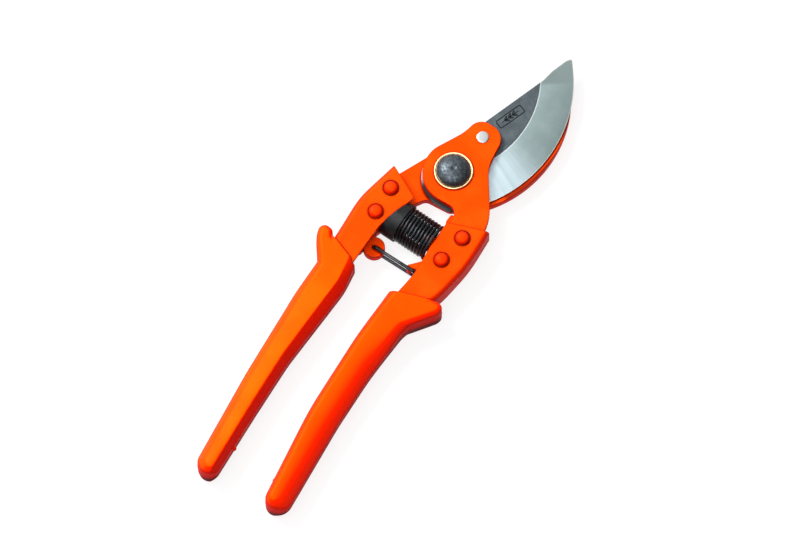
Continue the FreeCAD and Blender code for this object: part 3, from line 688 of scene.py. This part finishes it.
blade_rivet = [(0, BLADE_LOW + 0.02), (2.0, BLADE_LOW + 0.02), (2.0, HEAD_TOP - 0.02), (2.34, HEAD_TOP),
               (2.33, HEAD_TOP + 0.14), (2.22, HEAD_TOP + 0.24)]
blade_rivet += dome(2.1, HEAD_TOP + 0.26, HEAD_TOP + 0.35, 6)
place("blade_rivet_head", *turned(blade_rivet, BLADE_RIVET, 72), ZINC, "blade_arm", "bright_steel",
      "blade_rivet")

# The bolt's shank and rim, its dome and the dimple on top.
bolt = [(0, 0.0), (3.4, 0.0), (3.98, 0.5), (3.98, 13.25), (6.1, 13.25), (6.36, 13.36), (6.40, 13.55),
        (6.36, 13.80), (6.18, 14.02)]
bolt += [(6.4 * math.cos(t) * 0.965, 13.55 + 2.58 * math.sin(t)) for t in
         [math.radians(a) for a in (14, 19, 24, 30, 36, 42, 48, 54, 60, 66, 72, 77)]]
bolt += [(1.15, 16.10), (0.95, 16.02), (0.62, 15.86), (0, 15.80)]
place("pivot_bolt_head", *turned(bolt, around=128), BLACK_STEEL, "hook_arm", "black_steel", "pivot_bolt")

brass_ring = [(4.02, 12.57), (7.0, 12.57), (7.28, 12.66), (7.35, 12.84), (7.33, 13.02), (7.22, 13.16),
              (7.05, 13.22), (6.86, 13.20), (6.74, 13.08), (6.60, 13.02), (6.30, 13.02), (4.02, 13.02),
              (4.02, 12.57)]
place("brass_ring", *turned(brass_ring, around=128), BRASS, "hook_arm", "brass", "brass_washer")


def nut_mesh():
    """A hexagonal nut, chamfered at both ends, with a countersunk thread."""
    flats, tall, thread, around = 7.0, 3.3, 4.02, 96
    chamfer_from, chamfer = 6.75, math.tan(math.radians(28))
    # Each ring's radius, height and, on the hexagon's two rings, the sign of the chamfer's rise.
    outline = ((thread, 0.6, 0), (4.5, 0.0, 0), (6.6, 0.0, 0), (flats, 0.0, 1), (flats, tall, -1),
               (6.6, tall, 0), (thread, tall, 0))
    points, rings = [], []
    for radius, height, sign in outline:
        rings.append(len(points))
        for i in range(around):
            a = math.tau * i / around
            hexagon = 1 / math.cos(a % math.radians(60) - math.radians(30))
            far = radius * (hexagon if sign else 1.0)
            rise = max(far - chamfer_from, 0) * chamfer
            points.append((far * math.cos(a), far * math.sin(a), height + sign * rise))
    faces = []
    for low, high in zip(rings, rings[1:]):
        for i in range(around):
            j = (i + 1) % around
            faces.append((low + i, low + j, high + j, high + i))
    return points, faces


place("pivot_nut_chamfered", *nut_mesh(), BLACK_STEEL, "hook_arm", "black_steel", "pivot_nut",
      smooth=False)


# ----------------------------------------------------------------------------------------------------
# Spring and catch
# ----------------------------------------------------------------------------------------------------
def spring_path():
    """A coil along X: open turns between two closed end turns that are a little narrower."""
    steps = 44
    path = []
    run = 0.0
    for i in range(int(SPRING_TURNS * steps) + 1):
        turn = i / steps
        opening = min(turn, SPRING_TURNS - turn, 1.0)
        path.append((turn, opening, run))
        run += 0.80 + 0.23 * opening
    scale = (SPRING_RIGHT - SPRING_LEFT) / path[-1][2]
    coil = []
    for turn, opening, run in path:
        a = math.tau * turn
        radius = SPRING_RADIUS - 0.10 * (1 - opening)
        coil.append((SPRING_LEFT + run * scale, SPRING_Y + radius * math.cos(a),
                     SPRING_Z + radius * math.sin(a)))
    return coil


spring = place("coil_spring", *tube(spring_path(), SPRING_WIRE), SPRING_STEEL, None, "spring_steel")
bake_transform(spring)
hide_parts("return_spring")


def catch_path():
    """The bail's centre line: pin, upper strand, closed end, lower strand, pin."""
    low, high, bend, far = CATCH_LOW, CATCH_HIGH, CATCH_BEND, CATCH_LENGTH
    strand = [bend + (far - 2 * bend) * i / 6 for i in range(1, 6)]
    flat = [(0, 0, high - CATCH_PIN)]
    flat += arc(bend, high - bend, 180, 90, bend)
    flat += [(x, 0, high) for x in strand]
    flat += arc(far - bend, high - bend, 90, 0, bend)
    flat += arc(far - bend, low + bend, 0, -90, bend)
    flat += [(x, 0, low) for x in reversed(strand)]
    flat += arc(bend, low + bend, 270, 180, bend)
    flat.append((0, 0, low + CATCH_PIN))
    turn = Matrix.Rotation(CATCH_TILT, 3, "Z")
    return [tuple(turn @ Vector(p) + Vector((*EAR, 0))) for p in flat]


place("catch_bail", *tube(catch_path(), CATCH_WIRE, 18), CATCH_STEEL, "catch", "spring_steel",
      "catch_wire")


# ----------------------------------------------------------------------------------------------------
# A plain etched leaf in a frame on the blade's forged flat
# ----------------------------------------------------------------------------------------------------
def ribbon(path, half, closed):
    """A thin flat band along a path, just above the blade."""
    count, level = len(path), BLADE_TOP + 0.012
    points, faces = [], []
    for i, here in enumerate(path):
        before = path[(i - 1) % count if closed else max(i - 1, 0)]
        after = path[(i + 1) % count if closed else min(i + 1, count - 1)]
        run = Vector((after[0] - before[0], after[1] - before[1], 0)).normalized()
        side = Vector((-run.y, run.x, 0)) * half
        points.append((here[0] + side.x, here[1] + side.y, level))
        points.append((here[0] - side.x, here[1] - side.y, level))
    for i in range(count if closed else count - 1):
        j = (i + 1) % count
        faces.append((2 * i, 2 * i + 1, 2 * j + 1, 2 * j))
    return points, faces


def leaflet(stem, side):
    """The outline of one leaf on a side of the stem, 1 or -1."""
    outline = []
    for i in range(16):
        a = math.tau * i / 16
        length, out = 0.85 + 0.85 * math.cos(a), 0.26 * math.sin(a)
        outline.append((stem + length * 0.80 - side * out * 0.6,
                        side * (0.12 + length * 0.52) + out * 0.8))
    return outline


def etched_mark():
    """A frame with rounded corners round a stem with three pairs of leaves."""
    centre, turn = Vector((4.5, 30.65)), math.radians(72)
    wide, tall, corner = 5.6, 1.65, 0.5
    border = []
    for cx, cy, first in ((wide - corner, tall - corner, 0), (-wide + corner, tall - corner, 90),
                          (-wide + corner, -tall + corner, 180), (wide - corner, -tall + corner, 270)):
        for step in range(5):
            a = math.radians(first + 22.5 * step)
            border.append((cx + corner * math.cos(a), cy + corner * math.sin(a)))
    stalk = [(-3.8 + 7.6 * i / 8, 0.0) for i in range(9)]
    shapes = [(border, 0.22, True), (stalk, 0.18, False)]
    shapes += [(leaflet(stem, side), 0.19, True) for stem in (-2.4, -0.6, 1.2) for side in (1, -1)]
    spin = Matrix.Rotation(turn, 2)
    return join(*[ribbon([tuple(spin @ Vector(p) + centre) for p in line], half, closed)
                  for line, half, closed in shapes])


place("etched_leaf", *etched_mark(), ETCH, "blade_arm", "black_steel", smooth=False)


# ----------------------------------------------------------------------------------------------------
# Studio, in metres
# ----------------------------------------------------------------------------------------------------
AZIMUTH, ELEVATION = math.radians(35), math.radians(71)
LOOK_AT = Vector((8.37, -46.82, 13.13)) * MM
FRAME_WIDTH, LENS, SENSOR = 297.4 * MM, 500.0, 36.0
RIGHT = Vector((math.cos(AZIMUTH), math.sin(AZIMUTH), 0))
BACK = Vector((math.sin(AZIMUTH) * math.cos(ELEVATION), -math.cos(AZIMUTH) * math.cos(ELEVATION),
               math.sin(ELEVATION)))
UP = BACK.cross(RIGHT)
FLOOR_HALF = 2.2


def paper_floor():
    """A sheet of pale paper that glows a little, so that shadows on it are faint."""
    mesh = bpy.data.meshes.new("floor")
    half = FLOOR_HALF
    mesh.from_pydata([(-half, -half, 0), (half, -half, 0), (half, half, 0), (-half, half, 0)], [],
                     [(0, 1, 2, 3)])
    floor = bpy.data.objects.new("floor", mesh)
    floor.location.z = -0.05 * MM
    bpy.context.scene.collection.objects.link(floor)
    f = Finish("paper")
    tone = f.mix(f.span(f.noise(4, 3), 0.3, 0.7), (0.15, 0.15, 0.15), (0.17, 0.17, 0.17))
    f.set(Base_Color=tone, Roughness=0.9, Specular_IOR_Level=0.1)
    f.set(Emission_Color=(1.0, 1.0, 1.0, 1.0), Emission_Strength=0.82)
    mesh.materials.append(f.material)


def camera():
    """A long lens far back along the line of sight, so that the view is nearly without perspective."""
    data = bpy.data.cameras.new("camera")
    data.lens, data.sensor_width = LENS, SENSOR
    data.clip_start = 0.05
    item = bpy.data.objects.new("camera", data)
    basis = Matrix((RIGHT, UP, BACK)).transposed().to_4x4()
    basis.translation = LOOK_AT + BACK * (FRAME_WIDTH * LENS / SENSOR)
    item.matrix_world = basis
    bpy.context.scene.collection.objects.link(item)
    bpy.context.scene.camera = item


def softbox(name, place_at, side, power):
    """A square area light aimed at the middle of the view."""
    data = bpy.data.lights.new(name, "AREA")
    data.shape = "RECTANGLE"
    data.size, data.size_y = side, side
    data.energy = power
    lamp = bpy.data.objects.new(name, data)
    lamp.location = place_at
    lamp.rotation_euler = (LOOK_AT - place_at).to_track_quat("-Z", "Y").to_euler()
    bpy.context.scene.collection.objects.link(lamp)


def white_sky():
    """A sky that is bright towards the picture's upper left and dim on the other side."""
    world = bpy.data.worlds.new("studio")
    world.use_nodes = True
    nodes, links = world.node_tree.nodes, world.node_tree.links
    toward = nodes.new("ShaderNodeTexCoord").outputs["Generated"]
    facing = nodes.new("ShaderNodeVectorMath")
    facing.operation = "DOT_PRODUCT"
    facing.inputs[1].default_value = (UP - RIGHT).normalized()
    links.new(toward, facing.inputs[0])
    glow = nodes.new("ShaderNodeMapRange")
    glow.interpolation_type = "SMOOTHSTEP"
    for name, number in (("From Min", -0.5), ("From Max", 0.9), ("To Min", 0.02), ("To Max", 1.5)):
        glow.inputs[name].default_value = number
    links.new(facing.outputs["Value"], glow.inputs["Value"])
    links.new(glow.outputs["Result"], nodes["Background"].inputs["Strength"])
    nodes["Background"].inputs["Color"].default_value = (1.0, 1.0, 1.0, 1.0)
    bpy.context.scene.world = world


paper_floor()
camera()
softbox("key", LOOK_AT - RIGHT * 0.62 + UP * 0.50 + Vector((0, 0, 0.80)), 0.45, 17.0)
softbox("overhead", LOOK_AT + BACK * 1.3 - RIGHT * 0.10, 0.8, 9.0)
white_sky()
bpy.context.scene.view_settings.view_transform = "Standard"
